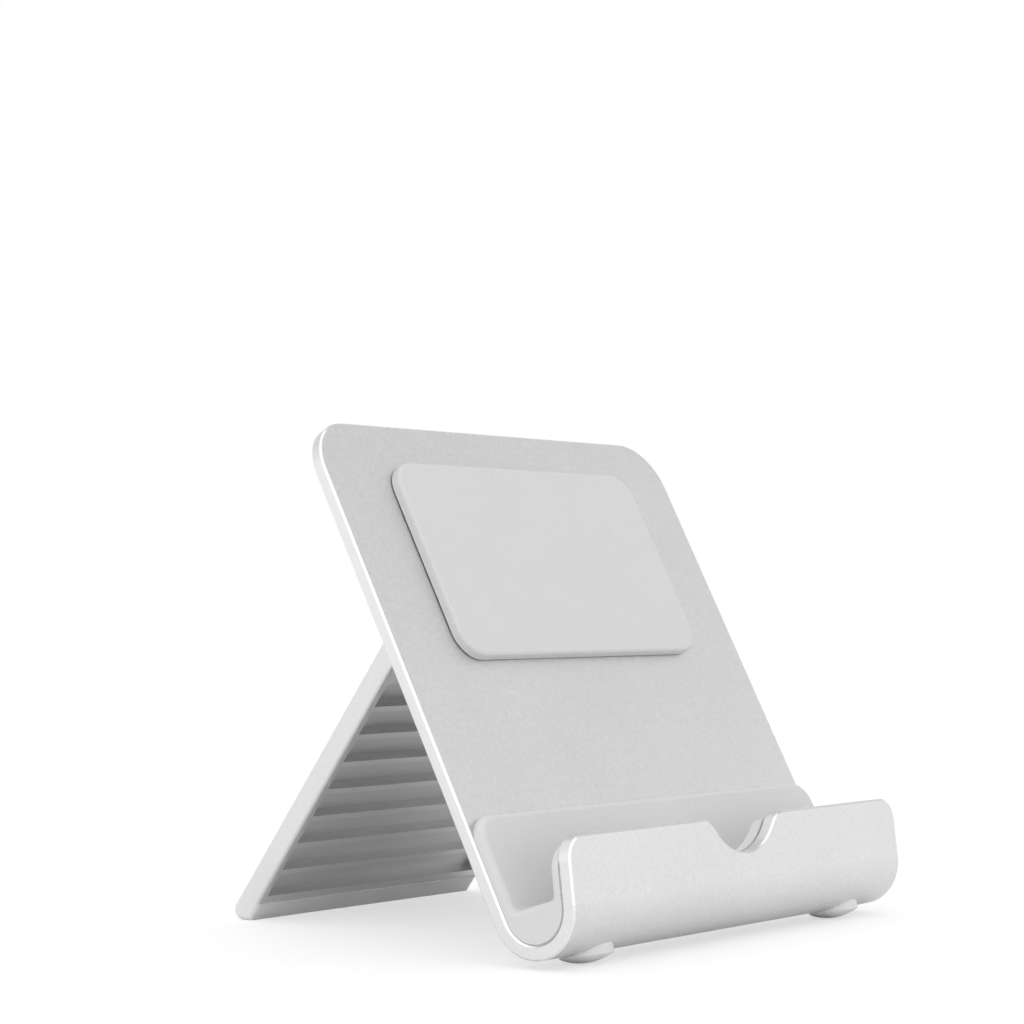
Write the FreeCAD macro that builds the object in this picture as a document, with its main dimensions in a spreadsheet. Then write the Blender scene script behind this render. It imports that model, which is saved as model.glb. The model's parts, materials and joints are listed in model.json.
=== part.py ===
import FreeCAD, Part
import os
import math
import Sketcher

# Folding tablet stand: a J-shaped aluminium plate with a hook along its lower
# edge, and a ribbed support leg on a friction hinge behind it.
#
# Frame: millimetres, +X along the hook (to the right as the user sees it),
# +Y to the back, +Z up. The floor is Z = 0 and the origin is the centre of the
# stand's footprint box on the floor.
#
# Three local frames are used below, and each piece is placed from one of them:
#   hook frame  - origin at the centre of the hook's bend, axes as the stand's;
#   plate frame - the same origin, turned so that local Z runs up the plate and
#                 local Y is the plate's rear normal;
#   leg frame   - origin on the hinge axis, local Z up the leg, local Y its rear
#                 normal.

doc = FreeCAD.newDocument("TabletStand")
V = FreeCAD.Vector

# ---------------------------------------------------------------- dimensions
S = doc.addObject("Spreadsheet::Sheet", "Sizes")
CELLS = [
    # J plate
    ("plate_width", 95.5), ("plate_thick", 2.3), ("hook_radius", 8.0),
    ("hook_height", 9.35), ("hook_back", -35.6645), ("plate_lean", 27.84),
    ("plate_rise", 88.0), ("plate_corner", 9.0), ("lip_lean", 7.1),
    ("lip_top", 20.45), ("lip_corner", 3.7), ("edge_bevel", 0.3),
    ("notch_bottom", 14.6), ("notch_radius", 10.6), ("notch_corner", 4.1),
    # hook liner and its adhesive film
    ("film_thick", 0.2), ("liner_thick", 1.75), ("liner_width", 95.1),
    ("liner_drop", 1.1), ("liner_rise", 17.0), ("liner_front_level", 1.41),
    ("liner_slope", 18.2), ("liner_corner", 4.0), ("film_width", 94.9),
    # upper rest pad
    ("pad_width", 66.0), ("pad_low", 44.0), ("pad_high", 80.0),
    ("pad_thick", 1.75), ("pad_corner", 5.0), ("pad_film_edge", 1.0),
    # front feet
    ("foot_spacing", 72.2), ("foot_radius", 4.25), ("foot_dome", 9.0),
    ("foot_tilt", 11.0), ("foot_round", 0.3), ("foot_flat", 0.08),
    ("foot_stem_radius", 1.5),
    # rear bumpers
    ("bumper_radius", 3.5), ("bumper_tall", 2.5), ("bumper_spacing", 40.0),
    ("bumper_level", 24.0), ("bumper_round", 0.9),
    # hinge
    ("hinge_offset", 5.2), ("hinge_level", 57.9), ("knuckle_radius", 3.6),
    ("lug_inner", 14.0), ("lug_wide", 8.0), ("base_thick", 1.2),
    ("base_half", 8.5), ("base_wide", 45.0), ("boss_thick", 2.3),
    ("neck_half", 3.3),
    ("bush_outer", 2.2), ("bush_bore", 1.53), ("pin_radius", 1.5),
    ("leg_bore", 1.52), ("pin_head_radius", 2.5), ("pin_head_tall", 1.6),
    ("cup_radius", 2.75), ("cup_start", 25.0), ("washer_gap", 0.6),
    ("friction_thick", 0.5), ("friction_radius", 3.3),
    ("spring_radius", 2.6), ("spring_thick", 0.3), ("spring_cone", 0.15),
    ("thrust_thick", 0.5), ("rivet_radius", 2.1), ("rivet_tall", 0.5),
    ("end_plug", 1.4),
    # bracket screws
    ("screw_span_x", 36.0), ("screw_span_z", 11.2), ("screw_radius", 1.2),
    ("screw_hole", 1.35), ("screw_head", 2.35), ("tap_radius", 1.25),
    ("screw_length", 4.2), ("recess_radius", 0.75), ("recess_deep", 0.9),
    # leg
    ("leg_half", 30.0), ("leg_front", 2.4), ("leg_rear", 1.64),
    ("leg_seam", 62.15), ("leg_lean", 36.4), ("slot_end", 4.4),
    ("rib_pitch", 5.9), ("pocket_tall", 4.8), ("pocket_deep", 1.9),
    ("pocket_half", 28.45), ("pocket_low", 60.5), ("pocket_count", 8),
    ("heel_rear", 2.3), ("heel_up", 3.58), ("tongue_end", 65.4),
    ("tongue_front", 1.5), ("tongue_rear", 0.4), ("tongue_half", 28.2),
    ("leg_round", 0.6),
    # rubber foot on the leg
    ("boot_front", 2.65), ("boot_rear", 1.8), ("sole_level", 54.55),
    ("boot_round", 1.75), ("boot_edge", 0.8),
]
for row, (alias, value) in enumerate(CELLS, start=1):
    S.set("A%d" % row, alias)
    S.set("B%d" % row, str(value))
    S.setAlias("B%d" % row, alias)
doc.recompute()


def num(expr):
    v = S.evalExpression(expr)
    return float(getattr(v, "Value", v))


def P(alias):
    return num("Sizes." + alias)


# ------------------------------------------------------------------- helpers
def bind(obj, **props):
    for prop, expr in props.items():
        obj.setExpression(prop, expr)
    return obj


def plane_of(body, role):
    return [f for f in body.Origin.OriginFeatures if f.Role == role][0]


def new_body(name, label=None):
    b = doc.addObject("PartDesign::Body", name)
    b.Label = label or name
    return b


def profile(body, role, name, verts, segs, offset=None):
    """Closed sketch: verts are (x, y) expressions, segs joins vertex i to i+1
    with "L" or ("A", centre x, centre y, radius, ccw)."""
    sk = body.newObject("Sketcher::SketchObject", name)
    sk.AttachmentSupport = [(plane_of(body, role), "")]
    sk.MapMode = "FlatFace"
    if offset is not None:
        sk.AttachmentOffset = offset
    n = len(verts)
    pts = [V(num(x), num(y), 0) for x, y in verts]
    ends = []
    for i, seg in enumerate(segs):
        a, b = pts[i], pts[(i + 1) % n]
        if seg == "L":
            g = sk.addGeometry(Part.LineSegment(a, b), False)
            ends.append((g, 1, 2))
        else:
            c = V(num(seg[1]), num(seg[2]), 0)
            r = (a - c).Length
            t0 = math.atan2(a.y - c.y, a.x - c.x)
            t1 = math.atan2(b.y - c.y, b.x - c.x)
            if not seg[4]:
                t0, t1 = t1, t0
            while t1 <= t0:
                t1 += 2 * math.pi
            g = sk.addGeometry(Part.ArcOfCircle(
                Part.Circle(c, V(0, 0, 1), r), t0, t1), False)
            ends.append((g, 1, 2) if seg[4] else (g, 2, 1))
    for i in range(n):
        g0, _, e0 = ends[i]
        g1, s1, _ = ends[(i + 1) % n]
        sk.addConstraint(Sketcher.Constraint("Coincident", g0, e0, g1, s1))
    for i, (x, y) in enumerate(verts):
        g, s, _ = ends[i]
        k = sk.addConstraint(Sketcher.Constraint("DistanceX", g, s, pts[i].x))
        sk.renameConstraint(k, "px%d" % i)
        sk.setExpression("Constraints.px%d" % i, x)
        k = sk.addConstraint(Sketcher.Constraint("DistanceY", g, s, pts[i].y))
        sk.renameConstraint(k, "py%d" % i)
        sk.setExpression("Constraints.py%d" % i, y)
    for i, seg in enumerate(segs):
        if seg != "L":
            k = sk.addConstraint(Sketcher.Constraint(
                "Radius", ends[i][0], num(seg[3])))
            sk.renameConstraint(k, "rad%d" % i)
            sk.setExpression("Constraints.rad%d" % i, seg[3])
    doc.recompute()
    return sk


def pad_sym(body, sk, name, expr):
    f = body.newObject("PartDesign::Pad", name)
    f.Profile = sk
    f.SideType = "Symmetric"
    bind(f, Length=expr)
    sk.Visibility = False
    doc.recompute()
    return f


def pocket_sym(body, sk, name, expr):
    before = body.Shape.Volume
    f = body.newObject("PartDesign::Pocket", name)
    f.Profile = sk
    f.SideType = "Symmetric"
    bind(f, Length=expr)
    doc.recompute()
    assert body.Shape.Volume < before - 1e-3, name + " cut nothing"
    return f


def edges_near(shape, test):
    return ["Edge%d" % (i + 1) for i, e in enumerate(shape.Edges) if test(e)]


def sharp_edges(shape, limit=30.0):
    """Names of the edges whose two faces meet at more than limit degrees."""
    out = []
    pairs = {}
    for f in shape.Faces:
        for e in f.Edges:
            pairs.setdefault(e.hashCode(), []).append((f, e))
    for i, e in enumerate(shape.Edges):
        fs = pairs.get(e.hashCode(), [])
        if len(fs) != 2:
            continue
        mid = e.valueAt(0.5 * (e.FirstParameter + e.LastParameter))
        ns = []
        for f, _ in fs:
            u, v = f.Surface.parameter(mid)
            ns.append(f.normalAt(u, v))
        if math.degrees(ns[0].getAngle(ns[1])) > limit:
            out.append("Edge%d" % (i + 1))
    return out


def dress(body, kind, name, base, names, expr):
    f = body.newObject("PartDesign::" + kind, name)
    f.Base = (base, names)
    bind(f, **({"Radius": expr} if kind == "Fillet" else {"Size": expr}))
    doc.recompute()
    return f


def prim(kind, name, place=None, **exprs):
    o = doc.addObject("Part::" + kind, name)
    bind(o, **exprs)
    if place is not None:
        o.Placement = place
    return o


def cut(name, base, tool):
    o = doc.addObject("Part::Cut", name)
    o.Base, o.Tool = base, tool
    return o


def fuse(name, *parts):
    o = doc.addObject("Part::MultiFuse", name)
    o.Shapes = list(parts)
    return o


def group(name, *parts):
    """Several identical separate solids kept as one sub-part."""
    o = doc.addObject("Part::Compound", name)
    o.Links = list(parts)
    return o


ALONG_X = FreeCAD.Rotation(V(0, 1, 0), 90)       # cylinder axis to +X
ALONG_Y = FreeCAD.Rotation(V(1, 0, 0), -90)      # cylinder axis to +Y

lean = P("plate_lean")
ROT_PLATE = FreeCAD.Rotation(V(1, 0, 0), -lean)
ROT_LEG = FreeCAD.Rotation(V(1, 0, 0), P("leg_lean"))
HOOK = V(0, P("hook_back"), P("hook_height"))
PLACE_HOOK = FreeCAD.Placement(HOOK, FreeCAD.Rotation())
PLACE_PLATE = FreeCAD.Placement(HOOK, ROT_PLATE)
AXIS_LOCAL = V(0, P("hook_radius") + P("hinge_offset"), P("hinge_level"))
AXIS = HOOK + ROT_PLATE.multVec(AXIS_LOCAL)
PLACE_LEG = FreeCAD.Placement(AXIS, ROT_LEG)
print("hinge axis at Y %.3f Z %.3f" % (AXIS.y, AXIS.z))

nodes = {}


def node(name, obj, place):
    obj.Label = name
    obj.Placement = place
    nodes[name] = obj


# ------------------------------------------------------------ the J-plate
cL, sL = "cos(Sizes.plate_lean*1deg)", "sin(Sizes.plate_lean*1deg)"
cl, sl = "cos(Sizes.lip_lean*1deg)", "sin(Sizes.lip_lean*1deg)"


def on_plate(radius, rise):
    """Point at a distance from the bend's centre along the plate's rear
    normal, and rise above it along the plate."""
    return ("(%s)*%s+(%s)*%s" % (radius, cL, rise, sL),
            "(%s)*%s-(%s)*%s" % (rise, cL, radius, sL))


def on_lip(radius, rise):
    return ("(%s)*%s-(%s)*%s" % (rise, sl, radius, cl),
            "(%s)*%s+(%s)*%s" % (rise, cl, radius, sl))


R_OUT = "Sizes.hook_radius"
R_IN = "Sizes.hook_radius-Sizes.plate_thick"
LIP_RISE = ("(Sizes.lip_top-Sizes.hook_height-Sizes.hook_radius*%s)/%s"
            % (sl, cl))

jb = new_body("j_plate_body")
sk = profile(
    jb, "YZ_Plane", "j_profile",
    [on_plate(R_OUT, "0"), on_plate(R_OUT, "Sizes.plate_rise"),
     on_plate(R_IN, "Sizes.plate_rise"), on_plate(R_IN, "0"),
     on_lip(R_IN, "0"), on_lip(R_IN, LIP_RISE),
     on_lip(R_OUT, LIP_RISE), on_lip(R_OUT, "0")],
    ["L", "L", "L", ("A", "0", "0", R_IN, False), "L", "L", "L",
     ("A", "0", "0", R_OUT, True)])
jpad = pad_sym(jb, sk, "j_pad", "Sizes.plate_width")

half = P("plate_width") / 2
ztop = P("lip_top") - P("hook_height")


def lip_corner_edge(e):
    c = e.CenterOfMass
    return (e.Length < 3 and abs(abs(c.x) - half) < 0.01 and c.y < 0
            and c.z > ztop - 1)


def plate_corner_edge(e):
    c = e.CenterOfMass
    return (e.Length < 3 and abs(abs(c.x) - half) < 0.01 and c.y > 20)


f1 = dress(jb, "Fillet", "lip_corners", jpad,
           edges_near(jpad.Shape, lip_corner_edge), "Sizes.lip_corner")
f2 = dress(jb, "Fillet", "plate_corners", f1,
           edges_near(f1.Shape, plate_corner_edge), "Sizes.plate_corner")

# cable notch: an arc with rounded shoulders, cut square through the lip. Its
# sketch plane stands along the lip, so heights are measured up the lip.
NR, NF = "Sizes.notch_radius", "Sizes.notch_corner"
NCZ = ("((Sizes.notch_bottom-Sizes.hook_height-Sizes.hook_radius*%s)/%s+%s)"
       % (sl, cl, NR))
NFZ = "(%s-%s)" % (LIP_RISE, NF)
NSUM = "(%s+%s)" % (NR, NF)
NFX = "sqrt(%s^2-(%s-%s)^2)" % (NSUM, NCZ, NFZ)
NBX = "%s*%s/%s" % (NFX, NR, NSUM)
NBZ = "%s-(%s-%s)*%s/%s" % (NCZ, NCZ, NFZ, NR, NSUM)
LIP_TILT = FreeCAD.Rotation(V(1, 0, 0), -P("lip_lean"))


def notch_sketch(body, name):
    return profile(
        body, "XZ_Plane", name,
        [("-1*" + NFX, LIP_RISE), ("-1*" + NBX, NBZ), (NBX, NBZ),
         (NFX, LIP_RISE), (NFX, LIP_RISE + "+3"),
         ("-1*" + NFX, LIP_RISE + "+3")],
        [("A", "-1*" + NFX, NFZ, NF, False), ("A", "0", NCZ, NR, True),
         ("A", NFX, NFZ, NF, False), "L", "L", "L"],
        offset=FreeCAD.Placement(LIP_TILT.multVec(V(0, 0, 6.0)), LIP_TILT))


nsk = notch_sketch(jb, "notch_profile")
npk = pocket_sym(jb, nsk, "cable_notch", "8")
names = sharp_edges(npk.Shape)
jch = dress(jb, "Chamfer", "edge_bevels", npk, names, "Sizes.edge_bevel")
if jch.Shape.isNull() or not jch.Shape.isValid() or "Invalid" in jch.State:
    raise RuntimeError("edge bevels failed on the J-plate")

# countersunk holes for the bracket screws, drilled from the plate's front
tools = []
lvl = P("hinge_level")
for ix in (-1, 1):
    for iz in (-1, 1):
        x = ix * P("screw_span_x") / 2
        z = lvl + iz * P("screw_span_z") / 2
        face = P("hook_radius") - P("plate_thick")
        at = ROT_PLATE.multVec(V(x, face - 1, z))
        tools.append(prim(
            "Cylinder", "plate_hole", FreeCAD.Placement(
                at, ROT_PLATE.multiply(ALONG_Y)),
            Radius="Sizes.screw_hole", Height="Sizes.plate_thick+2"))
        at = ROT_PLATE.multVec(V(x, face - 0.05, z))
        tools.append(prim(
            "Cone", "plate_sink", FreeCAD.Placement(
                at, ROT_PLATE.multiply(ALONG_Y)),
            Radius1="Sizes.screw_head+0.2",
            Radius2="Sizes.screw_hole",
            Height="Sizes.screw_head+0.2-Sizes.screw_hole"))
# radial holes for the stems of the front feet
tilt = P("foot_tilt")
ROT_FOOT = FreeCAD.Rotation(V(1, 0, 0), 180 - tilt)
FOOT_DIR = ROT_FOOT.multVec(V(0, 0, 1))
for ix in (-1, 1):
    tools.append(prim(
        "Cylinder", "stem_hole", FreeCAD.Placement(
            V(ix * P("foot_spacing") / 2, 0, 0) + FOOT_DIR * 4.5, ROT_FOOT),
        Radius="Sizes.foot_stem_radius", Height="5"))
back_plate = cut("back_plate_cut", jb, fuse("plate_tools", *tools))
node("back_plate", back_plate, PLACE_HOOK)

# ------------------------------------------------- silicone liner of the hook
R_FILM = "Sizes.hook_radius-Sizes.plate_thick-Sizes.film_thick"
R_SLOT = R_FILM + "-Sizes.liner_thick"
LINER_RISE = "(%s-Sizes.liner_drop)" % LIP_RISE
lb = new_body("liner_body")
slot = P("hook_radius") - P("plate_thick") - P("film_thick") - P("liner_thick")
# floor of the slot: a plane falling to the back, from the lip side to the
# plate side; rise values are where it meets the two side walls
tl = "tan(Sizes.liner_slope*1deg)"
# lip wall point (s): z = front level - tan*(y - y0), with y0 at that point
LIP_S = "(Sizes.liner_front_level-(%s)*%s)/%s" % (R_SLOT, sl, cl)
LY, LZ = on_lip(R_SLOT, LIP_S)
BACK_S = ("((%s)-(%s)*((%s)*%s-(%s))+(%s)*%s)/(%s+%s*%s)"
          % (LZ, tl, R_SLOT, cL, LY, R_SLOT, sL, cL, tl, sL))
lsk = profile(
    lb, "YZ_Plane", "liner_profile",
    [on_plate(R_FILM, "0"), on_plate(R_FILM, "Sizes.liner_rise"),
     on_plate(R_SLOT, "Sizes.liner_rise"), on_plate(R_SLOT, BACK_S),
     (LY, LZ), on_lip(R_SLOT, LINER_RISE), on_lip(R_FILM, LINER_RISE),
     on_lip(R_FILM, "0")],
    ["L", "L", "L", "L", "L", "L", "L", ("A", "0", "0", R_FILM, True)])
lpad = pad_sym(lb, lsk, "liner_pad", "Sizes.liner_width")
lhalf = P("liner_width") / 2
lrise = num(on_lip(R_SLOT, LINER_RISE)[1])


def liner_corner_edge(e):
    c = e.CenterOfMass
    return (e.Length < 2.2 and abs(abs(c.x) - lhalf) < 0.01 and c.y < 0
            and c.z > lrise - 1.0)


def liner_top_corner_edge(e):
    c = e.CenterOfMass
    return (e.Length < 2.2 and abs(abs(c.x) - lhalf) < 0.01 and c.y > 6)


lf1 = dress(lb, "Fillet", "liner_lip_corners", lpad,
            edges_near(lpad.Shape, liner_corner_edge), "Sizes.liner_corner")
lf1 = dress(lb, "Fillet", "liner_back_corners", lf1,
            edges_near(lf1.Shape, liner_top_corner_edge),
            "Sizes.liner_corner")


def slot_corner_edge(e):
    # the two inner bends of the slot
    c = e.CenterOfMass
    a = V(0, num(LY), num(LZ))
    bq = on_plate(R_SLOT, BACK_S)
    b = V(0, num(bq[0]), num(bq[1]))
    return e.Length > 50 and abs(c.x) < 0.1 and min(
        (V(0, c.y, c.z) - a).Length, (V(0, c.y, c.z) - b).Length) < 0.05


lf2 = dress(lb, "Fillet", "slot_bends", lf1,
            edges_near(lf1.Shape, slot_corner_edge), "0.9")
lnk = notch_sketch(lb, "liner_notch_profile")
lnp = pocket_sym(lb, lnk, "liner_notch", "8")


def liner_rim_edge(e):
    # upper inner rims that a tablet slides over
    c = e.CenterOfMass
    q = on_plate(R_SLOT, "Sizes.liner_rise")
    return (abs(V(0, c.y, c.z).sub(V(0, num(q[0]), num(q[1]))).Length) < 0.05
            and e.Length > 20)


lf3 = dress(lb, "Fillet", "liner_rims", lnp,
            edges_near(lnp.Shape, liner_rim_edge), "1.0")
node("hook_liner", lb, PLACE_HOOK)

# adhesive film between liner and plate
fb = new_body("film_body")
FILM_RISE = "(%s-Sizes.liner_drop-0.5)" % LIP_RISE
fsk = profile(
    fb, "YZ_Plane", "film_profile",
    [on_plate(R_IN, "0"), on_plate(R_IN, "Sizes.liner_rise-1"),
     on_plate(R_FILM, "Sizes.liner_rise-1"), on_plate(R_FILM, "0"),
     on_lip(R_FILM, "0"), on_lip(R_FILM, FILM_RISE),
     on_lip(R_IN, FILM_RISE), on_lip(R_IN, "0")],
    ["L", "L", "L", ("A", "0", "0", R_FILM, False), "L", "L", "L",
     ("A", "0", "0", R_IN, True)])
fpad = pad_sym(fb, fsk, "film_pad", "Sizes.film_width")
fhalf = P("film_width") / 2
ftop = num(on_lip(R_IN, FILM_RISE)[1])
ff = dress(fb, "Fillet", "film_corners", fpad, edges_near(
    fpad.Shape, lambda e: e.Length < 0.5
    and abs(abs(e.CenterOfMass.x) - fhalf) < 0.01
    and e.CenterOfMass.y < 0 and e.CenterOfMass.z > ftop - 0.5), "3.6")
fnk = notch_sketch(fb, "film_notch_profile")
fnp = pocket_sym(fb, fnk, "film_notch", "8")
node("liner_film", fb, PLACE_HOOK)

# ------------------------------------------------------- upper rest pad
PF = "Sizes.hook_radius-Sizes.plate_thick"


def rounded_slab(name, half_w, low, high, y_near, thick, corner, fillet=None):
    """Slab with rounded corners on the plate's front, in the plate frame."""
    b = new_body(name)
    hw, lo, hi, rc = half_w, low, high, corner
    sk = profile(
        b, "XZ_Plane", name + "_outline",
        [("-1*(%s)+%s" % (hw, rc), lo), ("%s-%s" % (hw, rc), lo),
         (hw, "%s+%s" % (lo, rc)), (hw, "%s-%s" % (hi, rc)),
         ("%s-%s" % (hw, rc), hi), ("-1*(%s)+%s" % (hw, rc), hi),
         ("-1*(%s)" % hw, "%s-%s" % (hi, rc)),
         ("-1*(%s)" % hw, "%s+%s" % (lo, rc))],
        ["L", ("A", "%s-%s" % (hw, rc), "%s+%s" % (lo, rc), rc, True), "L",
         ("A", "%s-%s" % (hw, rc), "%s-%s" % (hi, rc), rc, True), "L",
         ("A", "-1*(%s)+%s" % (hw, rc), "%s-%s" % (hi, rc), rc, True), "L",
         ("A", "-1*(%s)+%s" % (hw, rc), "%s+%s" % (lo, rc), rc, True)],
        offset=FreeCAD.Placement(V(0, 0, -num(y_near)), FreeCAD.Rotation()))
    f = b.newObject("PartDesign::Pad", name + "_pad")
    f.Profile = sk
    bind(f, Length=thick)
    doc.recompute()
    if fillet:
        yf = num(y_near) - num(thick)
        names = edges_near(f.Shape, lambda e: all(
            abs(p.y - yf) < 1e-3 for p in e.discretize(5)))
        f = dress(b, "Fillet", name + "_rim", f, names, fillet)
    return b


film = rounded_slab("pad_film_body", "Sizes.pad_width/2-Sizes.pad_film_edge",
                    "Sizes.pad_low+Sizes.pad_film_edge",
                    "Sizes.pad_high-Sizes.pad_film_edge", PF,
                    "Sizes.film_thick", "(Sizes.pad_corner-1)")
node("pad_film", film, PLACE_PLATE)
pad = rounded_slab("rest_pad_body", "Sizes.pad_width/2", "Sizes.pad_low",
                   "Sizes.pad_high", PF + "-Sizes.film_thick",
                   "Sizes.pad_thick", "Sizes.pad_corner", "0.6")
node("rest_pad", pad, PLACE_PLATE)

# ------------------------------------------------------------- front feet
# low domes on the underside of the bend; each is flattened where it stands
DOME_AT = ((P("hook_height") + P("foot_flat") - P("foot_dome"))
           / math.cos(math.radians(P("foot_tilt"))))
for side, ix in (("left", -1), ("right", 1)):
    x = ix * P("foot_spacing") / 2
    disc = prim("Cylinder", "foot_disc_" + side, FreeCAD.Placement(
        V(x, 0, 0) + FOOT_DIR * 6.0, ROT_FOOT),
        Radius="Sizes.foot_radius", Height="8")
    ball = prim("Sphere", "foot_dome_" + side, FreeCAD.Placement(
        V(x, 0, 0) + FOOT_DIR * DOME_AT, ROT_FOOT),
        Radius="Sizes.foot_dome")
    puck = doc.addObject("Part::Common", "foot_puck_" + side)
    puck.Base, puck.Tool = disc, ball
    doc.recompute()
    rim = [i + 1 for i, e in enumerate(puck.Shape.Edges)
           if abs(e.Length - 2 * math.pi * P("foot_radius")) < 0.01
           and (e.CenterOfMass - V(x, 0, 0)).Length > 7]
    round_ = doc.addObject("Part::Fillet", "foot_round_" + side)
    round_.Base = puck
    r = P("foot_round")
    round_.Edges = [(i, r, r) for i in rim]
    bend = prim("Cylinder", "bend_" + side, FreeCAD.Placement(
        V(x - 10, 0, 0), ALONG_X), Radius="Sizes.hook_radius", Height="20")
    sole = prim("Box", "sole_" + side, None,
                Length="20", Width="40", Height="10")
    sole.Placement = FreeCAD.Placement(
        V(x - 10, -20, -10 - P("hook_height")), FreeCAD.Rotation())
    body = cut("foot_cut_" + side, cut("foot_bend_" + side, round_, bend),
               sole)
    stem = prim("Cylinder", "foot_stem_" + side, FreeCAD.Placement(
        V(x, 0, 0) + FOOT_DIR * (P("hook_radius") - P("plate_thick") + 0.1),
        ROT_FOOT), Radius="Sizes.foot_stem_radius", Height="3")
    foot = fuse("front_foot_fuse_" + side, body, stem)
    node("front_foot_" + side, foot, PLACE_HOOK)

# ----------------------------------------- bumpers under the folded leg
bumps = []
for ix in (-1, 1):
    c = prim("Cylinder", "bumper_disc", FreeCAD.Placement(
        V(ix * P("bumper_spacing") / 2, P("hook_radius"),
          P("bumper_level")), ALONG_Y),
        Radius="Sizes.bumper_radius", Height="Sizes.bumper_tall")
    doc.recompute()
    rim = [i + 1 for i, e in enumerate(c.Shape.Edges)
           if len(e.Vertexes) == 1 and
           e.CenterOfMass.y > P("hook_radius") + 1]
    fl = doc.addObject("Part::Fillet", "bumper_dome")
    fl.Base = c
    r = P("bumper_round")
    fl.Edges = [(i, r, r) for i in rim]
    bumps.append(fl)
node("rear_bumpers", group("rear_bumper_pair", *bumps), PLACE_PLATE)

# ---------------------------------------------------------- hinge bracket
# drawn about the hinge axis in the plate frame
PLACE_AXIS = FreeCAD.Placement(AXIS, ROT_PLATE)
OFF, KR = "Sizes.hinge_offset", "Sizes.knuckle_radius"
BT, BH = "Sizes.base_thick", "Sizes.base_half"
base = prim("Box", "bracket_base", None, Length="Sizes.base_wide",
            Width=BT, Height="2*" + BH)
base.Placement = FreeCAD.Placement(
    V(-P("base_wide") / 2, -P("hinge_offset"), -P("base_half")),
    FreeCAD.Rotation())
doc.recompute()
fl = doc.addObject("Part::Fillet", "bracket_base_corners")
fl.Base = base
fl.Edges = [(i + 1, 2.5, 2.5) for i, e in enumerate(base.Shape.Edges)
            if abs(e.tangentAt(0).y) > 0.9]
lugs = []
lug_body = new_body("bracket_lug_left")
# a low boss for the screws, a neck, and the barrel round the hinge axis; the
# folded leg passes over the boss and beside the neck
NECK = "Sizes.neck_half"
NECK_Y = "-1*sqrt(%s^2-%s^2)" % (KR, NECK)
TOP_Y = "-1*%s+Sizes.boss_thick" % OFF
SHY = "-1*%s+0.6" % OFF
lsk2 = profile(
    lug_body, "YZ_Plane", "lug_profile",
    [("-1*" + OFF, "-1*%s+0.4" % BH), (SHY, "-1*%s+0.4" % BH),
     (TOP_Y, "-1*%s+0.9" % BH), (TOP_Y, "-1*" + NECK),
     (NECK_Y, "-1*" + NECK), (NECK_Y, NECK), (TOP_Y, NECK),
     (TOP_Y, "%s-0.9" % BH), (SHY, "%s-0.4" % BH),
     ("-1*" + OFF, "%s-0.4" % BH)],
    ["L", "L", "L", "L", ("A", "0", "0", KR, True), "L", "L", "L", "L", "L"],
    offset=FreeCAD.Placement(V(0, 0, -P("lug_inner") - P("lug_wide") / 2),
                             FreeCAD.Rotation()))
lug1 = pad_sym(lug_body, lsk2, "lug_pad", "Sizes.lug_wide")
lug_mirror = doc.addObject("Part::Mirroring", "bracket_lug_right")
lug_mirror.Source = lug_body
lug_mirror.Normal = V(1, 0, 0)
solid = fuse("bracket_solid", fl, lug_body, lug_mirror)
bt = [prim("Cylinder", "bracket_bore", FreeCAD.Placement(
    V(-30, 0, 0), ALONG_X), Radius="Sizes.bush_outer", Height="60")]
for ix in (-1, 1):
    for iz in (-1, 1):
        bt.append(prim("Cylinder", "tapped_hole", FreeCAD.Placement(
            V(ix * P("screw_span_x") / 2, -P("hinge_offset") - 0.5,
              iz * P("screw_span_z") / 2), ALONG_Y),
            Radius="Sizes.tap_radius", Height="Sizes.boss_thick+0.35"))
bracket = cut("bracket_cut", solid, fuse("bracket_tools", *bt))
node("hinge_bracket", bracket, PLACE_AXIS)

# ----------------------------------------------------------------- bushes
for side, ix in (("left", -1), ("right", 1)):
    x0 = P("lug_inner") if ix > 0 else -P("lug_inner") - P("lug_wide")
    o = prim("Cylinder", "bush_outer_" + side, FreeCAD.Placement(
        V(x0, 0, 0), ALONG_X), Radius="Sizes.bush_outer",
        Height="Sizes.lug_wide")
    i = prim("Cylinder", "bush_hole_" + side, FreeCAD.Placement(
        V(x0 - 1, 0, 0), ALONG_X), Radius="Sizes.bush_bore",
        Height="Sizes.lug_wide+2")
    node("hinge_bush_" + side, cut("bush_" + side, o, i), PLACE_AXIS)

# ----------------------------------------------------------------- screws
heads = []
face = -P("hinge_offset") - P("plate_thick")
for ix in (-1, 1):
    for iz in (-1, 1):
        x = ix * P("screw_span_x") / 2
        z = iz * P("screw_span_z") / 2
        shank = prim("Cylinder", "screw_shank", FreeCAD.Placement(
            V(x, face + 0.1, z), ALONG_Y), Radius="Sizes.screw_radius",
            Height="Sizes.screw_length-0.1")
        head = prim("Cone", "screw_head_cone", FreeCAD.Placement(
            V(x, face + 0.1, z), ALONG_Y), Radius1="Sizes.screw_head",
            Radius2="Sizes.screw_radius",
            Height="Sizes.screw_head-Sizes.screw_radius")
        rec = prim("Prism", "screw_recess", FreeCAD.Placement(
            V(x, face - 0.4, z), ALONG_Y), Circumradius="Sizes.recess_radius",
            Height="Sizes.recess_deep+0.5")
        heads.append(cut("bracket_screw", fuse("screw_blank", shank, head),
                         rec))
node("bracket_screws", group("bracket_screw_set", *heads), PLACE_AXIS)

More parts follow.
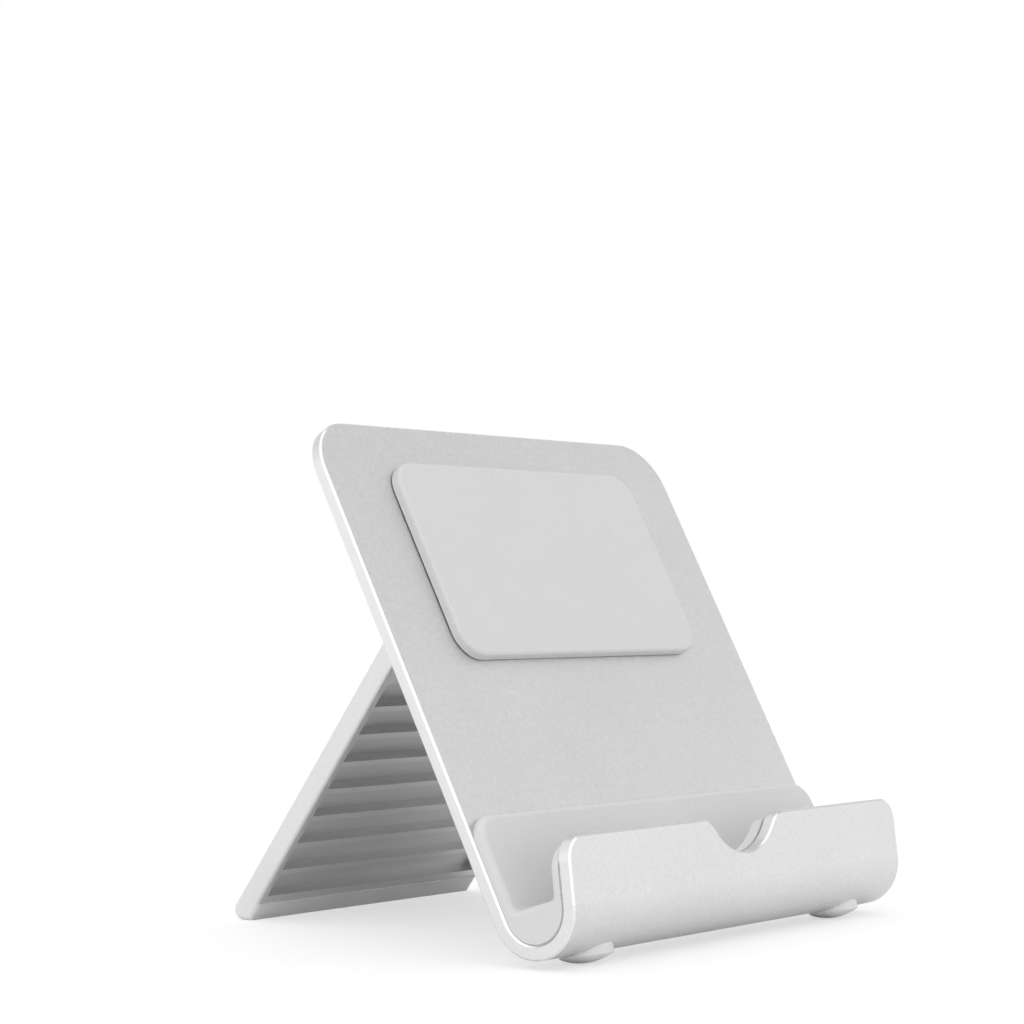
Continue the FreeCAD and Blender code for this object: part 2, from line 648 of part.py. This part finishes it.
# -------------------------------------------------- hinge pin and its stack
cup = P("cup_start")
shaft_end = cup + 2 * P("thrust_thick") + 4 * (
    P("spring_thick") + P("spring_cone"))
pin_shaft = prim("Cylinder", "pin_shaft", FreeCAD.Placement(
    V(-cup - P("pin_head_tall"), 0, 0), ALONG_X), Radius="Sizes.pin_radius",
    Height="2*Sizes.cup_start+Sizes.pin_head_tall+2*Sizes.thrust_thick"
           "+4*(Sizes.spring_thick+Sizes.spring_cone)+Sizes.rivet_tall")
pin_head = prim("Cylinder", "pin_head", FreeCAD.Placement(
    V(-cup - P("pin_head_tall"), 0, 0), ALONG_X),
    Radius="Sizes.pin_head_radius", Height="Sizes.pin_head_tall")
rivet = prim("Cone", "pin_rivet", FreeCAD.Placement(
    V(shaft_end, 0, 0), ALONG_X), Radius1="Sizes.rivet_radius",
    Radius2="Sizes.pin_radius+0.1", Height="Sizes.rivet_tall")
node("hinge_pin", fuse("hinge_pin_fuse", pin_shaft, pin_head, rivet),
     PLACE_LEG)


def ring(name, x0, r_out, r_in, wide):
    o = prim("Cylinder", name + "_disc", FreeCAD.Placement(
        V(x0, 0, 0), ALONG_X), Radius=r_out, Height=wide)
    i = prim("Cylinder", name + "_hole", FreeCAD.Placement(
        V(x0 - 1, 0, 0), ALONG_X), Radius=r_in, Height="(%s)+2" % wide)
    return cut(name, o, i)


sp = P("spring_thick") + P("spring_cone")
x0 = cup
washers = [ring("thrust_washer_a", x0, "Sizes.spring_radius",
                "Sizes.pin_radius", "Sizes.thrust_thick"),
           ring("thrust_washer_b", x0 + P("thrust_thick") + 4 * sp,
                "Sizes.spring_radius", "Sizes.pin_radius",
                "Sizes.thrust_thick")]
node("thrust_washers", group("thrust_washer_pair", *washers), PLACE_LEG)

# four conical spring washers, nested base to base in two pairs; each is a
# section turned about the hinge axis
springs = []
for k in range(4):
    xs = cup + P("thrust_thick") + k * sp
    ri, ro = P("pin_radius") + 0.05, P("spring_radius") - 0.05
    c, th = P("spring_cone"), P("spring_thick")
    a0, a1 = (c, 0.0) if k % 2 == 0 else (0.0, c)
    poly = Part.makePolygon([V(xs + a0, 0, ri), V(xs + a1, 0, ro),
                             V(xs + a1 + th, 0, ro), V(xs + a0 + th, 0, ri),
                             V(xs + a0, 0, ri)])
    shape = Part.Face(poly).revolve(V(0, 0, 0), V(1, 0, 0), 360)
    s_ = doc.addObject("Part::Feature", "disc_spring_%d" % (k + 1))
    s_.Shape = shape
    springs.append(s_)
node("disc_springs", group("disc_spring_stack", *springs), PLACE_LEG)

# friction washers in the four gaps between the knuckles and the lugs
gaps = []
slack = (P("washer_gap") - P("friction_thick")) / 2
for k, x0 in enumerate((
        -P("lug_inner") + slack,
        P("lug_inner") - P("washer_gap") + slack,
        P("lug_inner") + P("lug_wide") + slack,
        -P("lug_inner") - P("lug_wide") - P("washer_gap") + slack)):
    if k == 0:
        x0 = -P("lug_inner") + slack
    gaps.append(ring("friction_washer_%d" % (k + 1), x0,
                     "Sizes.friction_radius", "Sizes.leg_bore+0.03",
                     "Sizes.friction_thick"))
node("friction_washers", group("friction_washer_set", *gaps), PLACE_LEG)

# ------------------------------------------------------------ support leg
lg = new_body("leg_body")
LF, LR_, KRS = "Sizes.leg_front", "Sizes.leg_rear", "Sizes.knuckle_radius"
gsk = profile(
    lg, "YZ_Plane", "leg_profile",
    [("-1*" + LF, "-1*Sizes.leg_seam"), (LR_, "-1*Sizes.leg_seam"),
     (LR_, "-1*sqrt(%s^2-%s^2)" % (KRS, LR_)),
     ("-1*" + LF, "-1*sqrt(%s^2-%s^2)" % (KRS, LF))],
    ["L", "L", ("A", "0", "0", KRS, True), "L"])
gpad = pad_sym(lg, gsk, "leg_pad", "2*Sizes.leg_half")
# soft long edges
fside = dress(lg, "Fillet", "leg_sides", gpad, edges_near(
    gpad.Shape, lambda e: e.Length > 50
    and abs(e.tangentAt(e.FirstParameter).z) > 0.9), "Sizes.leg_round")
# heel: stops the leg against the bracket when it is fully open
hsk = profile(
    lg, "YZ_Plane", "heel_profile",
    [("-0.5", "-2.0"), ("Sizes.heel_rear", "-2.0"),
     ("Sizes.heel_rear", "Sizes.heel_up"), ("-0.5", "Sizes.heel_up")],
    ["L", "L", "L", "L"])
hpad = pad_sym(lg, hsk, "leg_heel", "2*(Sizes.lug_inner-Sizes.washer_gap)")
# tongue that the rubber foot grips
tsk = profile(
    lg, "YZ_Plane", "tongue_profile",
    [("-1*Sizes.tongue_front", "-1*Sizes.tongue_end"),
     ("Sizes.tongue_rear", "-1*Sizes.tongue_end"),
     ("Sizes.tongue_rear", "-1*Sizes.leg_seam+0.5"),
     ("-1*Sizes.tongue_front", "-1*Sizes.leg_seam+0.5")],
    ["L", "L", "L", "L"])
tpad = pad_sym(lg, tsk, "leg_tongue", "2*Sizes.tongue_half")
# slots that the bracket's lugs run in, one each side
for side, ix in (("left", -1), ("right", 1)):
    a = "Sizes.lug_inner-Sizes.washer_gap"
    b = "Sizes.lug_inner+Sizes.lug_wide+Sizes.washer_gap"
    lo, hi = ("-1*(%s)" % b, "-1*(%s)" % a) if ix < 0 else (a, b)
    ssk = profile(
        lg, "XZ_Plane", "slot_profile_" + side,
        [(lo, "-1*Sizes.slot_end"), (hi, "-1*Sizes.slot_end"), (hi, "6"),
         (lo, "6")], ["L", "L", "L", "L"])
    pocket_sym(lg, ssk, "lug_slot_" + side, "20")
# ribbed front face: one pocket, repeated up the leg
psk = profile(
    lg, "XZ_Plane", "pocket_profile",
    [("-1*Sizes.pocket_half", "-1*Sizes.pocket_low"),
     ("Sizes.pocket_half", "-1*Sizes.pocket_low"),
     ("Sizes.pocket_half", "-1*Sizes.pocket_low+Sizes.pocket_tall"),
     ("-1*Sizes.pocket_half", "-1*Sizes.pocket_low+Sizes.pocket_tall")],
    ["L", "L", "L", "L"],
    offset=FreeCAD.Placement(V(0, 0, P("leg_front")), FreeCAD.Rotation()))
vol0 = lg.Shape.Volume
pk = pocket_sym(lg, psk, "rib_pocket", "2*Sizes.pocket_deep")
lp = lg.newObject("PartDesign::LinearPattern", "rib_pockets")
lp.Originals = [pk]
lp.Direction = (psk, ["V_Axis"])
lp.Mode = "Spacing" if "Spacing" in lp.getEnumerationsOfProperty(
    "Mode") else lp.Mode
if "Offset" in lp.PropertiesList:
    bind(lp, Offset="Sizes.rib_pitch")
else:
    bind(lp, Length="Sizes.rib_pitch*(Sizes.pocket_count-1)")
bind(lp, Occurrences="Sizes.pocket_count")
lg.Tip = lp
doc.recompute()
print("leg pockets removed %.1f mm3" % (vol0 - lg.Shape.Volume))
leg_tools = [
    prim("Cylinder", "leg_pin_bore", FreeCAD.Placement(
        V(-40, 0, 0), ALONG_X), Radius="Sizes.leg_bore", Height="80"),
    prim("Cylinder", "leg_cup_right", FreeCAD.Placement(
        V(cup, 0, 0), ALONG_X), Radius="Sizes.cup_radius", Height="10"),
    prim("Cylinder", "leg_cup_left", FreeCAD.Placement(
        V(-cup - 10, 0, 0), ALONG_X), Radius="Sizes.cup_radius",
        Height="10")]
node("support_leg", cut("support_leg_cut", lg, fuse("leg_tools", *leg_tools)),
     PLACE_LEG)

# ------------------------------------------------------ hinge end plugs
for side, ix in (("left", -1), ("right", 1)):
    x0 = P("leg_half") - P("end_plug") if ix > 0 else -P("leg_half")
    plug = prim("Cylinder", "hinge_plug_" + side, None,
                Radius="Sizes.cup_radius", Height="Sizes.end_plug")
    node("hinge_cap_" + side, plug, PLACE_LEG.multiply(
        FreeCAD.Placement(V(x0, 0, 0), ALONG_X)))

# ------------------------------------------------- rubber foot of the leg
rb = new_body("boot_body")
BF, BR = "Sizes.boot_front", "Sizes.boot_rear"
tan_, cos_ = "tan(Sizes.leg_lean*1deg)", "cos(Sizes.leg_lean*1deg)"
axis_h = AXIS.z
# the sole lies on the floor at rest: z = -(H + y sin)/cos in the leg frame
SOLE = lambda y: "(-%.6f-(%s)*sin(Sizes.leg_lean*1deg))/%s" % (axis_h, y, cos_)
turn = "tan((90deg+Sizes.leg_lean*1deg)/2)"
RR = "Sizes.boot_round"
# the rear bend is tangent to the sole and to the rear face
T1 = ("%s-%s*%s*%s" % (BR, RR, turn, cos_),
      "%s+%s*%s*sin(Sizes.leg_lean*1deg)" % (SOLE(BR), RR, turn))
T2 = (BR, "%s+%s*%s" % (SOLE(BR), RR, turn))
bsk = profile(
    rb, "YZ_Plane", "boot_profile",
    [("-1*" + BF, "-1*Sizes.leg_seam"), ("-1*" + BF, SOLE("-1*" + BF)), T1,
     T2, (BR, "-1*Sizes.leg_seam")],
    ["L", "L", ("A", "%s-%s" % (BR, RR), "%s+%s*%s" % (SOLE(BR), RR, turn),
                RR, True), "L", "L"])
bpad = pad_sym(rb, bsk, "boot_pad", "2*Sizes.leg_half")
bfil = dress(rb, "Fillet", "boot_edges", bpad, edges_near(
    bpad.Shape, lambda e: e.Length > 1.0 and abs(
        abs(e.CenterOfMass.x) - P("leg_half")) < 0.01
    and abs(e.CenterOfMass.z + P("leg_seam")) > 0.05), "Sizes.boot_edge")
tongue = prim("Box", "boot_socket", None, Length="2*Sizes.tongue_half",
              Width="Sizes.tongue_front+Sizes.tongue_rear",
              Height="Sizes.tongue_end-Sizes.leg_seam+1")
tongue.Placement = FreeCAD.Placement(
    V(-P("tongue_half"), -P("tongue_front"), -P("tongue_end")),
    FreeCAD.Rotation())
node("leg_foot", cut("leg_foot_cut", rb, tongue), PLACE_LEG)

doc.recompute()

# ------------------------------------------------------------------ checks
bad = [o.Name + " " + "/".join(o.State) for o in doc.Objects
       if "Invalid" in o.State or "Error" in o.State]
if bad:
    raise RuntimeError("failed objects: " + ", ".join(bad))
total = FreeCAD.BoundBox()
for name, obj in nodes.items():
    sh = obj.Shape
    if sh.isNull() or not sh.isValid() or not sh.Solids:
        raise RuntimeError("bad shape in " + name)
    bb = sh.optimalBoundingBox(False, False)
    total.add(bb)
    print("%-18s solids %d vol %8.1f  x %6.2f..%6.2f y %6.2f..%6.2f "
          "z %6.2f..%6.2f" % (name, len(sh.Solids), sh.Volume, bb.XMin,
                              bb.XMax, bb.YMin, bb.YMax, bb.ZMin, bb.ZMax))
print("whole x %.3f..%.3f y %.3f..%.3f z %.3f..%.3f" % (
    total.XMin, total.XMax, total.YMin, total.YMax, total.ZMin, total.ZMax))
if len(nodes) > 60:
    raise RuntimeError("too many nodes")

os.makedirs("parts", exist_ok=True)
for name, obj in nodes.items():
    obj.Shape.exportStep("parts/%s.step" % name)
print("%d nodes written" % len(nodes))
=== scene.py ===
import json
import math

import bpy
from mathutils import Matrix, Vector


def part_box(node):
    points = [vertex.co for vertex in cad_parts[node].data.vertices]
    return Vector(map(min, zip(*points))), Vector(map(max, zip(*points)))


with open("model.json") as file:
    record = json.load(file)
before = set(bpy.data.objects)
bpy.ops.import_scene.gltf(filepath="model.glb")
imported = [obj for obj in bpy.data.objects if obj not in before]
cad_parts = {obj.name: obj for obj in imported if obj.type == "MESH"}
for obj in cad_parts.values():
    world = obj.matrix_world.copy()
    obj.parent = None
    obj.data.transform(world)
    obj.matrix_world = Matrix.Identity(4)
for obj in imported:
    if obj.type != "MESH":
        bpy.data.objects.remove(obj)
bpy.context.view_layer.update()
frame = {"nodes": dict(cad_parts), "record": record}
nodes = frame["nodes"]
record = frame["record"]
scene = bpy.context.scene


# ------------------------------------------------------------- node helpers
class Shader:
    """A small builder for node materials in object space, in millimetres."""

    def __init__(self, name):
        self.mat = bpy.data.materials.new(name)
        self.mat.use_nodes = True
        self.t = self.mat.node_tree
        self.t.nodes.clear()
        self.out = self.add("ShaderNodeOutputMaterial")
        self.bsdf = self.add("ShaderNodeBsdfPrincipled")
        self.link(self.bsdf.outputs["BSDF"], self.out.inputs["Surface"])
        coord = self.add("ShaderNodeTexCoord")
        self.mm = self.add("ShaderNodeVectorMath")
        self.mm.operation = "SCALE"
        self.mm.inputs["Scale"].default_value = 1000.0
        self.link(coord.outputs["Object"], self.mm.inputs[0])
        self.pos = self.mm.outputs[0]
        self.last_bump = None

    def add(self, kind):
        return self.t.nodes.new(kind)

    def link(self, a, b):
        self.t.links.new(a, b)

    def set(self, **values):
        for k, v in values.items():
            self.bsdf.inputs[k.replace("_", " ")].default_value = v

    def noise(self, scale, detail=2.0, rough=0.5, vec=None, dist=0.0):
        n = self.add("ShaderNodeTexNoise")
        n.inputs["Scale"].default_value = scale
        n.inputs["Detail"].default_value = detail
        n.inputs["Roughness"].default_value = rough
        n.inputs["Distortion"].default_value = dist
        self.link(vec or self.pos, n.inputs["Vector"])
        return n.outputs["Fac"]

    def stretch(self, x, y, z, vec=None):
        m = self.add("ShaderNodeVectorMath")
        m.operation = "MULTIPLY"
        m.inputs[1].default_value = (x, y, z)
        self.link(vec or self.pos, m.inputs[0])
        return m.outputs[0]

    def voronoi(self, scale, feature="F1", vec=None):
        n = self.add("ShaderNodeTexVoronoi")
        n.feature = feature
        n.inputs["Scale"].default_value = scale
        self.link(vec or self.pos, n.inputs["Vector"])
        return n.outputs["Distance"]

    def remap(self, value, a, b, c, d, smooth=False):
        m = self.add("ShaderNodeMapRange")
        if smooth:
            m.interpolation_type = "SMOOTHSTEP"
        for k, v in zip(("From Min", "From Max", "To Min", "To Max"),
                        (a, b, c, d)):
            m.inputs[k].default_value = v
        self.link(value, m.inputs["Value"])
        return m.outputs["Result"]

    def math(self, op, a, b=None):
        m = self.add("ShaderNodeMath")
        m.operation = op
        for i, v in enumerate((a, b)):
            if v is None:
                continue
            if isinstance(v, (int, float)):
                m.inputs[i].default_value = v
            else:
                self.link(v, m.inputs[i])
        return m.outputs[0]

    def mix(self, factor, a, b):
        """Mixes two colours, each an rgb tuple or a socket."""
        m = self.add("ShaderNodeMix")
        m.data_type = "RGBA"
        self.link(factor, m.inputs["Factor"])
        for key, v in ((6, a), (7, b)):
            if isinstance(v, tuple):
                m.inputs[key].default_value = (*v, 1.0)
            else:
                self.link(v, m.inputs[key])
        return m.outputs[2]

    def bump(self, height, strength, distance_mm):
        b = self.add("ShaderNodeBump")
        b.inputs["Strength"].default_value = strength
        b.inputs["Distance"].default_value = distance_mm / 1000.0
        self.link(height, b.inputs["Height"])
        if self.last_bump:
            self.link(self.last_bump, b.inputs["Normal"])
        self.last_bump = b.outputs["Normal"]
        return self

    def done(self, color=None, rough=None):
        if color is not None:
            self.link(color, self.bsdf.inputs["Base Color"])
        if rough is not None:
            self.link(rough, self.bsdf.inputs["Roughness"])
        if self.last_bump:
            self.link(self.last_bump, self.bsdf.inputs["Normal"])
        return self.mat


def blasted(name, dark, light, rough, metallic=1.0, grain=0.35):
    """Fine bead-blasted and anodised aluminium."""
    s = Shader(name)
    s.set(Metallic=metallic)
    fine = s.noise(5.5, 3.0, 0.65)                # pits of about 0.15 mm
    coarse = s.noise(1.6, 2.0, 0.5)               # 0.6 mm speckle
    cloud = s.noise(0.035, 2.0, 0.5)              # slow change of tone
    g = s.math("ADD", s.math("MULTIPLY", fine, 0.6),
               s.math("MULTIPLY", coarse, 0.4))
    tone = s.math("ADD", s.math("MULTIPLY", g, 0.85),
                  s.math("MULTIPLY", cloud, 0.15))
    color = s.mix(s.remap(tone, 0.40, 0.60, 0.0, 1.0), dark, light)
    r = s.remap(g, 0.35, 0.65, rough - 0.07, rough + 0.08)
    s.bump(g, grain, 0.02)
    return s.done(color, r)


def machined(name, dark, light, rough, axis=(1.0, 1.0, 1.0), metallic=1.0):
    """Cut or ground metal with fine lines along the axis with the small
    stretch factor."""
    s = Shader(name)
    s.set(Metallic=metallic)
    lines = s.noise(6.0, 3.0, 0.6, vec=s.stretch(*axis))
    spots = s.noise(0.7, 2.0, 0.5)
    color = s.mix(s.remap(lines, 0.3, 0.7, 0.0, 1.0), dark, light)
    r = s.remap(spots, 0.3, 0.7, rough - 0.05, rough + 0.08)
    s.bump(lines, 0.25, 0.006)
    return s.done(color, r)


def rubber(name, dark, light, rough, grain=1.2, relief=0.02):
    """Matt moulded silicone or rubber with a fine skin and a little dust."""
    s = Shader(name)
    s.set(**{"Specular_IOR_Level": 0.35})
    skin = s.noise(4.0, 3.0, 0.6)
    pebble = s.voronoi(grain * 3.0)
    cloud = s.noise(0.12, 3.0, 0.55)
    tone = s.math("ADD", s.math("MULTIPLY", skin, 0.85),
                  s.math("MULTIPLY", cloud, 0.15))
    color = s.mix(s.remap(tone, 0.36, 0.64, 0.0, 1.0), dark, light)
    r = s.remap(skin, 0.3, 0.7, rough - 0.06, rough + 0.06)
    s.bump(pebble, 0.18, relief)
    s.bump(skin, 0.2, relief * 0.7)
    return s.done(color, r)


M_PLATE = blasted("anodised_plate", (0.70, 0.70, 0.704), (0.79, 0.79, 0.794),
                  0.44)
M_LEG = blasted("anodised_leg", (0.71, 0.71, 0.714), (0.78, 0.78, 0.784),
                0.44)
# painted shade: the rib pockets' colour is darker than the leg's to stand for
# the shade in the recesses; their higher roughness is a finish
M_POCKET_SHADE = blasted("leg_pockets_painted_shade", (0.655, 0.655, 0.659), (0.725, 0.725, 0.729),
                   0.50)
M_EDGE = machined("milled_edge", (0.74, 0.74, 0.744), (0.81, 0.81, 0.814),
                  0.38)
M_BEVEL = machined("polished_bevel", (0.80, 0.80, 0.804), (0.86, 0.86, 0.864),
                   0.26, axis=(1.0, 1.0, 1.0))
M_LINER = rubber("liner_silicone", (0.60, 0.60, 0.604), (0.66, 0.66, 0.664),
                 0.62)
M_FOOT = rubber("foot_rubber", (0.66, 0.66, 0.664), (0.74, 0.74, 0.744), 0.42)
M_BOOT = rubber("boot_rubber", (0.67, 0.67, 0.674), (0.73, 0.73, 0.734), 0.55)
M_PAD = rubber("pad_silicone", (0.58, 0.58, 0.584), (0.64, 0.64, 0.644), 0.66)
M_FILM = rubber("adhesive_film", (0.40, 0.40, 0.404), (0.46, 0.46, 0.464),
                0.7, relief=0.005)
M_BRACKET = machined("bracket_aluminium", (0.60, 0.60, 0.605),
                     (0.68, 0.68, 0.685), 0.34, axis=(0.08, 1.0, 1.0))
M_SCREW = machined("screw_steel", (0.48, 0.48, 0.485), (0.56, 0.56, 0.565),
                   0.28)
M_PIN = machined("pin_steel", (0.50, 0.50, 0.505), (0.60, 0.60, 0.605), 0.25,
                 axis=(0.1, 1.0, 1.0))
M_BRONZE = machined("bush_bronze", (0.50, 0.36, 0.20), (0.60, 0.45, 0.26),
                    0.4)
M_CAP = rubber("cap_plastic", (0.60, 0.60, 0.605), (0.65, 0.65, 0.655), 0.45,
               relief=0.008)

PAINT = {
    "back_plate": M_PLATE, "support_leg": M_LEG, "hook_liner": M_LINER,
    "rest_pad": M_PAD, "liner_film": M_FILM, "pad_film": M_FILM,
    "front_foot_left": M_FOOT, "front_foot_right": M_FOOT,
    "rear_bumpers": M_FOOT, "leg_foot": M_BOOT, "hinge_bracket": M_BRACKET,
    "bracket_screws": M_SCREW, "hinge_pin": M_PIN, "disc_springs": M_PIN,
    "thrust_washers": M_PIN, "friction_washers": M_BRONZE,
    "hinge_bush_left": M_BRONZE, "hinge_bush_right": M_BRONZE,
    "hinge_cap_left": M_CAP, "hinge_cap_right": M_CAP,
}
for name, obj in nodes.items():
    mats = obj.data.materials
    mats.clear()
    mats.append(PAINT[name])

# the plate's cut edge and the polished bevel round it are told from its sheet
# faces by the angle between each face and the sheet at that place
plate = nodes["back_plate"]
plate.data.materials.append(M_BEVEL)
plate.data.materials.append(M_EDGE)
plate_lo, plate_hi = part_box("back_plate")
THICK, R_OUT = 0.0023, 0.008
LEAN, LIP = math.radians(27.84), math.radians(7.1)
UP = Vector((0.0, math.sin(LEAN), math.cos(LEAN)))
NRM = Vector((0.0, math.cos(LEAN), -math.sin(LEAN)))
LIP_UP = Vector((0.0, math.sin(LIP), math.cos(LIP)))
LIP_N = Vector((0.0, -math.cos(LIP), math.sin(LIP)))
# centre of the hook's bend: its radius above the plate's lowest point, and
# its radius behind the lip's outer face at that height
BEND_Z = plate_lo.z + R_OUT
BEND_Y = plate_lo.y + R_OUT
CENTRE = Vector((0.0, BEND_Y, BEND_Z))


def sheet_frame(p):
    """(distance from the bend's centre through the sheet, sheet normal)."""
    q = p - CENTRE
    q.x = 0.0
    if q.dot(NRM) > 0.004 and q.dot(UP) >= 0.0:
        return q.dot(NRM), NRM
    if q.dot(LIP_N) > 0.004 and q.dot(LIP_UP) >= 0.0:
        return q.dot(LIP_N), LIP_N
    return q.length, q.normalized()


for face in plate.data.polygons:
    c = face.center
    depth, m = sheet_frame(c)
    along = abs(face.normal.dot(m))
    if c.z < plate_hi.z and 0.3 < along < 0.93:
        near = min(abs(depth - R_OUT), abs(depth - (R_OUT - THICK)))
        if near < 0.00033:
            face.material_index = 1
    elif along <= 0.3:
        face.material_index = 2

# the floors and walls of the leg's rib pockets get a rougher finish than its
# ribs and a darker colour, which is painted shade for the recesses
leg = nodes["support_leg"]
leg.data.materials.append(M_POCKET_SHADE)
HINGE = Vector(record["behaviour"]["joints"][0]["pos_m"])
LEG = math.radians(36.4)
LEG_UP = Vector((0.0, -math.sin(LEG), math.cos(LEG)))
LEG_REAR = Vector((0.0, math.cos(LEG), math.sin(LEG)))
for face in leg.data.polygons:
    q = face.center - HINGE
    depth, rise = q.dot(LEG_REAR), q.dot(LEG_UP)
    if (-0.00235 < depth < -0.0004 and -0.0607 < rise < -0.0140
            and abs(q.x) < 0.02846):
        face.material_index = 1

# -------------------------------------------------------------- the stage
def stage_plane(name, size, z):
    me = bpy.data.meshes.new(name)
    me.from_pydata([(-size, -size, z), (size, -size, z), (size, size, z),
                    (-size, size, z)], [], [(0, 1, 2, 3)])
    o = bpy.data.objects.new(name, me)
    scene.collection.objects.link(o)
    return o


FLOOR, FLOOR_SEEN, FLOOR_GLOW = 0.90, 0.43, 0.56
floor = stage_plane("floor", 6.0, 0.0)
sf = Shader("white_floor")
sf.set(Roughness=0.7, Specular_IOR_Level=0.1)
fl = sf.noise(0.02, 2.0, 0.5)
# a pale lit sweep: its own glow keeps its shadows soft and light
sf.set(**{"Emission_Color": (1.0, 1.0, 1.0, 1.0)})
ray = sf.add("ShaderNodeLightPath").outputs["Is Camera Ray"]
sf.link(sf.remap(ray, 0.0, 1.0, 0.0, FLOOR_GLOW),
        sf.bsdf.inputs["Emission Strength"])
tint = sf.mix(fl, (FLOOR, FLOOR, FLOOR), (FLOOR + 0.01,) * 3)
floor.data.materials.append(sf.done(sf.mix(ray, tint, (FLOOR_SEEN,) * 3)))

# ---------------------------------------------------------------- lights
TOP_LEVEL, LOW_GAIN, LEFT_GAIN, FRONT_GAIN = 0.57, 0.39, 0.25, 0.26
world = bpy.data.worlds.new("studio")
world.use_nodes = True
scene.world = world
wt = world.node_tree
wt.nodes.clear()
wo = wt.nodes.new("ShaderNodeOutputWorld")
wb = wt.nodes.new("ShaderNodeBackground")
wb.inputs["Color"].default_value = (1.0, 1.0, 1.0, 1.0)
wt.links.new(wb.outputs["Background"], wo.inputs["Surface"])
# a pale room: bright low down, brightest to the left, dimmer overhead; what
# looks straight at the backdrop sees plain white
def wmath(op, a, b=None, c=None):
    m = wt.nodes.new("ShaderNodeMath")
    m.operation = op
    for i, v in enumerate((a, b, c)):
        if v is None:
            continue
        if isinstance(v, (int, float)):
            m.inputs[i].default_value = v
        else:
            wt.links.new(v, m.inputs[i])
    return m.outputs[0]


def wramp(value, a, b, c, d):
    m = wt.nodes.new("ShaderNodeMapRange")
    m.interpolation_type = "SMOOTHSTEP"
    for k, v in zip(("From Min", "From Max", "To Min", "To Max"),
                    (a, b, c, d)):
        m.inputs[k].default_value = v
    wt.links.new(value, m.inputs["Value"])
    return m.outputs["Result"]


wc = wt.nodes.new("ShaderNodeTexCoord")
ws = wt.nodes.new("ShaderNodeSeparateXYZ")
wt.links.new(wc.outputs["Generated"], ws.inputs[0])
low = wramp(wmath("ABSOLUTE", ws.outputs["Z"]), 0.10, 0.90, 1.0, 0.0)
left = wramp(ws.outputs["X"], -0.85, 0.30, 1.0, 0.0)
front = wramp(ws.outputs["Y"], -0.25, -0.85, 0.0, 1.0)
level = wmath("MULTIPLY_ADD", left, LEFT_GAIN, LOW_GAIN)
level = wmath("MULTIPLY_ADD", front, FRONT_GAIN, level)
radiance = wmath("MULTIPLY_ADD", low, level, TOP_LEVEL)
wl = wt.nodes.new("ShaderNodeLightPath")
wm = wt.nodes.new("ShaderNodeMix")
wm.data_type = "FLOAT"
wm.inputs[3].default_value = 1.0
wt.links.new(radiance, wm.inputs[2])
wt.links.new(wl.outputs["Is Camera Ray"], wm.inputs[0])
wt.links.new(wm.outputs[0], wb.inputs["Strength"])


def sun(name, toward, strength, soft_deg):
    d = bpy.data.lights.new(name, "SUN")
    d.energy = strength
    d.angle = math.radians(soft_deg)
    o = bpy.data.objects.new(name, d)
    scene.collection.objects.link(o)
    o.rotation_mode = "QUATERNION"
    o.rotation_quaternion = Vector(toward).to_track_quat("-Z", "Y")
    return o


sun("overhead", (0.30, 0.10, -1.0), 1.15, 95.0)

# ---------------------------------------------------------------- camera
cam_data = bpy.data.cameras.new("camera")
cam_data.sensor_width = 36.0
cam_data.lens = 91.614
cam_data.clip_start, cam_data.clip_end = 0.02, 50.0
cam = bpy.data.objects.new("camera", cam_data)
scene.collection.objects.link(cam)
cam.location = (-0.357337, -0.275547, 0.055503)
cam.rotation_mode = "QUATERNION"
cam.rotation_quaternion = Vector((0.785392, 0.618093, 0.033467)) \
    .to_track_quat("-Z", "Y")
scene.camera = cam

scene.view_settings.view_transform = "Standard"
scene.view_settings.look = "None"
